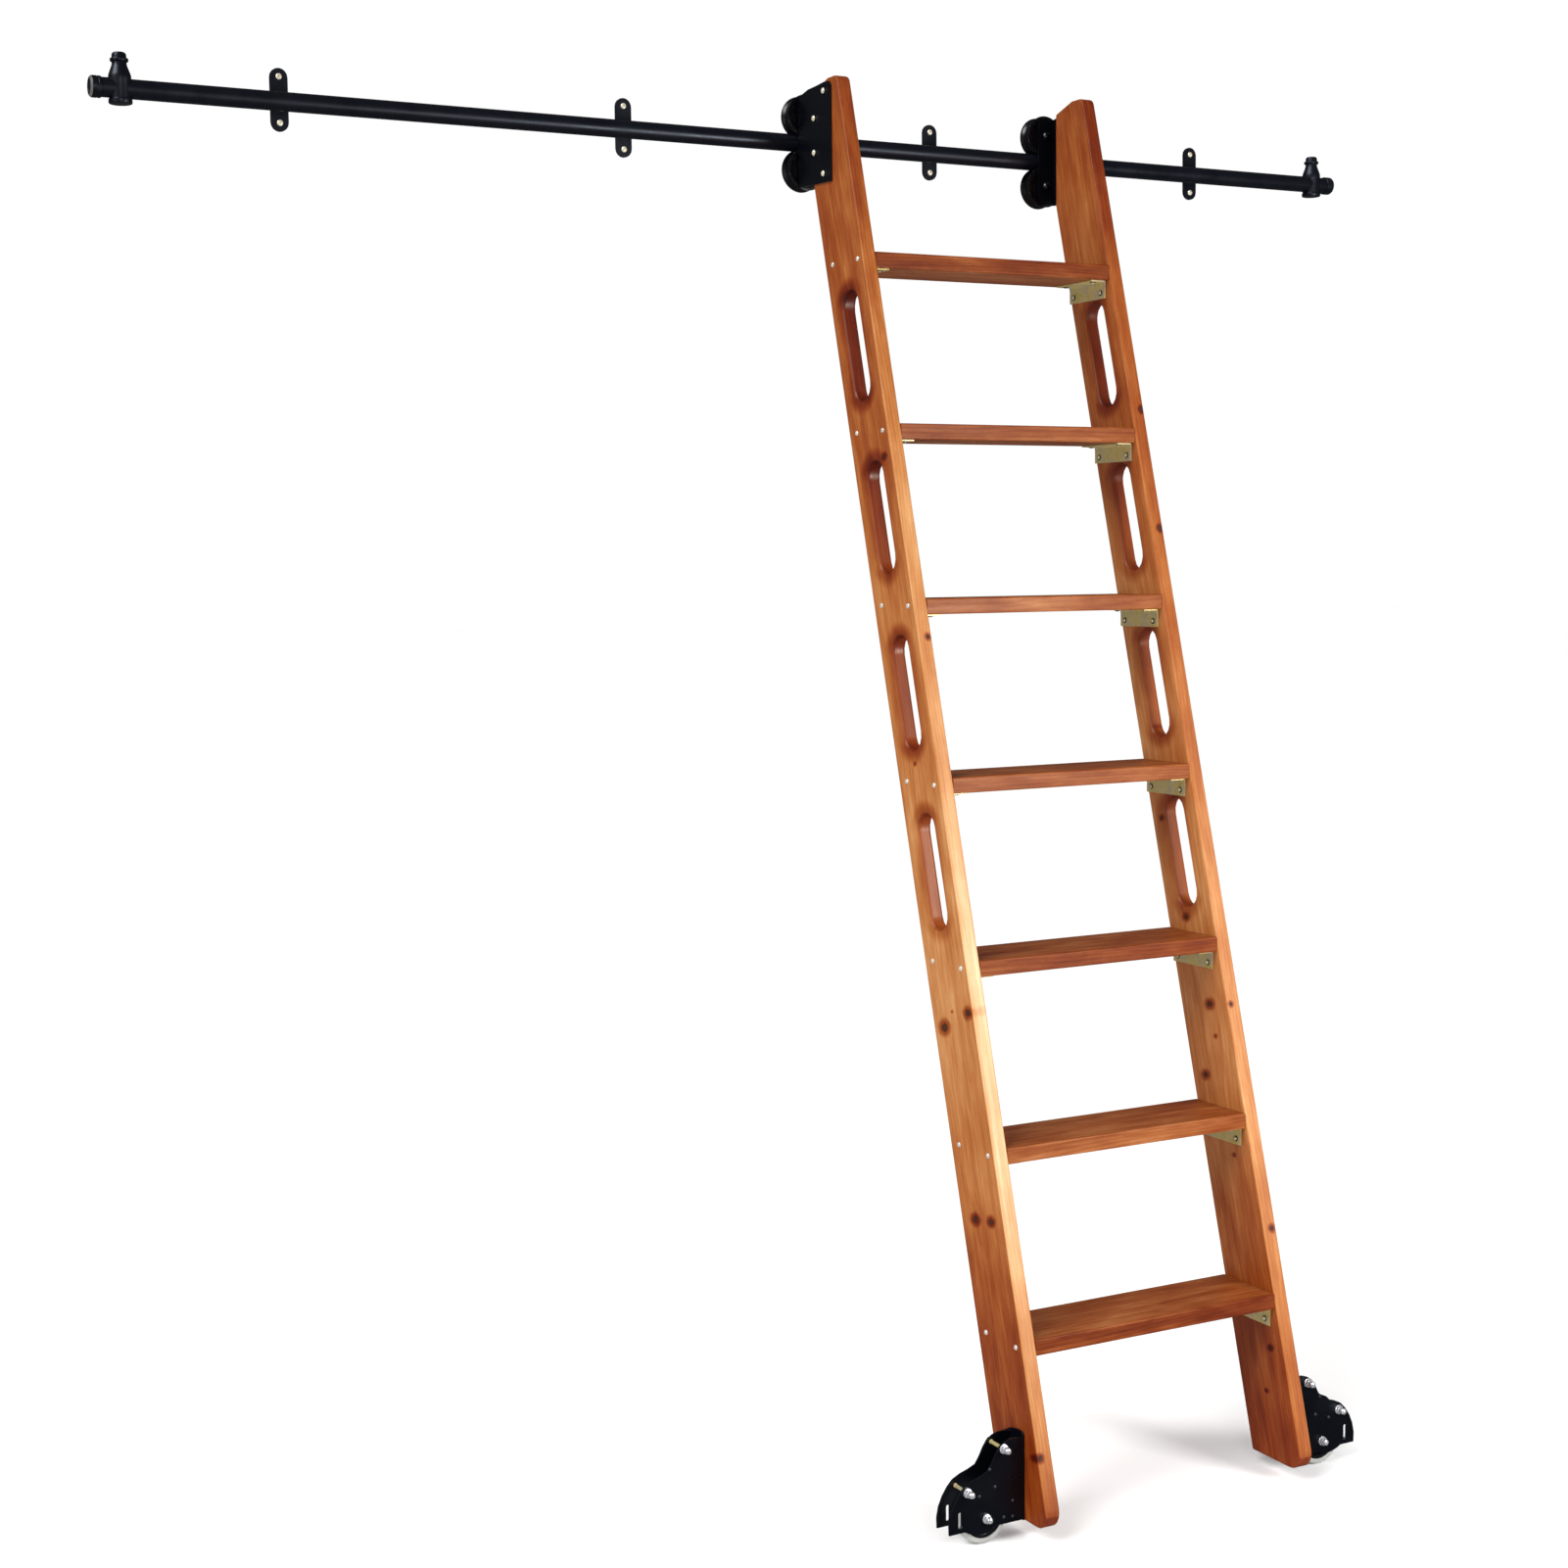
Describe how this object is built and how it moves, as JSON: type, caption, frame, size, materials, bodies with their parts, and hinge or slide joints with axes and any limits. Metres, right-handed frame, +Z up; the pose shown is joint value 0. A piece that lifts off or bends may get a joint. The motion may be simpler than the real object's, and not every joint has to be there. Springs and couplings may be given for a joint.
{
  "type": "library ladder",
  "caption": "Leaning wooden library ladder with handhold slots, top rollers that clasp a black wall rail, and wheeled feet that roll along the floor.",
  "frame": {"origin": "centre of the base of the bounding box of rail and ladder together, on the floor", "axes": "+X along the rail, to the right for a person facing the wall; +Y towards the wall; +Z up"},
  "size_m": [2.4966, 0.8506, 2.434],
  "materials": {
    "stile_wood": "honey to cherry stained pine with knots, satin",
    "tread_wood": "cherry stained pine, satin",
    "black_metal": "black powder coat, semi-gloss",
    "roller_nylon": "moulded black, glossy",
    "zinc_plate": "yellow zinc plate",
    "bright_steel": "bright plated steel",
    "wheel_rubber": "grey rubber, matt"
  },
  "bodies": {
    "rail": {"end_plug_left": "black_metal", "end_plug_right": "black_metal", "rail_tee_left": "black_metal", "rail_tee_right": "black_metal", "rail_tube": "black_metal", "tee_cap_left": "black_metal", "tee_cap_right": "black_metal", "wall_bracket_1": "black_metal", "wall_bracket_2": "black_metal", "wall_bracket_3": "black_metal", "wall_bracket_4": "black_metal"},
    "ladder": {"foot_axle_left": "bright_steel", "foot_axle_right": "bright_steel", "foot_back_plate_left": "black_metal", "foot_back_plate_right": "black_metal", "foot_flange_left": "black_metal", "foot_flange_right": "black_metal", "foot_front_plate_left": "black_metal", "foot_front_plate_right": "black_metal", "foot_tie_outer_left": "zinc_plate", "foot_tie_outer_right": "zinc_plate", "foot_tie_upper_left": "zinc_plate", "foot_tie_upper_right": "zinc_plate", "roller_axle_lower_left": "bright_steel", "roller_axle_lower_right": "bright_steel", "roller_axle_upper_left": "bright_steel", "roller_axle_upper_right": "bright_steel", "stile_left": "stile_wood", "stile_right": "stile_wood", "top_bracket_left": "black_metal", "top_bracket_right": "black_metal", "tread_1": "tread_wood", "tread_2": "tread_wood", "tread_3": "tread_wood", "tread_4": "tread_wood", "tread_5": "tread_wood", "tread_6": "tread_wood", "tread_7": "tread_wood", "tread_bracket_left_1": "zinc_plate", "tread_bracket_left_2": "zinc_plate", "tread_bracket_left_3": "zinc_plate", "tread_bracket_left_4": "zinc_plate", "tread_bracket_left_5": "zinc_plate", "tread_bracket_left_6": "zinc_plate", "tread_bracket_left_7": "zinc_plate", "tread_bracket_right_1": "zinc_plate", "tread_bracket_right_2": "zinc_plate", "tread_bracket_right_3": "zinc_plate", "tread_bracket_right_4": "zinc_plate", "tread_bracket_right_5": "zinc_plate", "tread_bracket_right_6": "zinc_plate", "tread_bracket_right_7": "zinc_plate"},
    "roller_lower_left": {"roller_lower_left": "roller_nylon"},
    "roller_lower_right": {"roller_lower_right": "roller_nylon"},
    "roller_upper_left": {"roller_upper_left": "roller_nylon"},
    "roller_upper_right": {"roller_upper_right": "roller_nylon"},
    "wheel_left": {"foot_wheel_hub_left": "roller_nylon", "foot_tyre_left": "wheel_rubber"},
    "wheel_right": {"foot_wheel_hub_right": "roller_nylon", "foot_tyre_right": "wheel_rubber"}
  },
  "joints": [
    {"name": "ladder_roll", "type": "slide", "parent": "rail", "child": "ladder", "axis": [1, 0, 0], "range_m": [-1.15, 0.59]},
    {"name": "roller_lower_left_spin", "type": "hinge", "parent": "ladder", "child": "roller_lower_left", "pos_m": [0.022, 0.36326, 2.293], "axis": [0, 1, 0], "continuous": true},
    {"name": "roller_lower_right_spin", "type": "hinge", "parent": "ladder", "child": "roller_lower_right", "pos_m": [0.538, 0.36326, 2.293], "axis": [0, 1, 0], "continuous": true},
    {"name": "roller_upper_left_spin", "type": "hinge", "parent": "ladder", "child": "roller_upper_left", "pos_m": [0.022, 0.36326, 2.387], "axis": [0, 1, 0], "continuous": true},
    {"name": "roller_upper_right_spin", "type": "hinge", "parent": "ladder", "child": "roller_upper_right", "pos_m": [0.538, 0.36326, 2.387], "axis": [0, 1, 0], "continuous": true},
    {"name": "wheel_left_spin", "type": "hinge", "parent": "ladder", "child": "wheel_left", "pos_m": [-0.067, -0.34474, 0.044], "axis": [0, 1, 0], "continuous": true},
    {"name": "wheel_right_spin", "type": "hinge", "parent": "ladder", "child": "wheel_right", "pos_m": [0.627, -0.34474, 0.044], "axis": [0, 1, 0], "continuous": true}
  ],
  "couplings": [
    {"joint": "roller_lower_left_spin", "follows": "ladder_roll", "rad_per_m": -31.746},
    {"joint": "roller_lower_right_spin", "follows": "ladder_roll", "rad_per_m": -31.746},
    {"joint": "roller_upper_left_spin", "follows": "ladder_roll", "rad_per_m": 31.746},
    {"joint": "roller_upper_right_spin", "follows": "ladder_roll", "rad_per_m": 31.746},
    {"joint": "wheel_left_spin", "follows": "ladder_roll", "rad_per_m": 22.727},
    {"joint": "wheel_right_spin", "follows": "ladder_roll", "rad_per_m": 22.727}
  ]
}
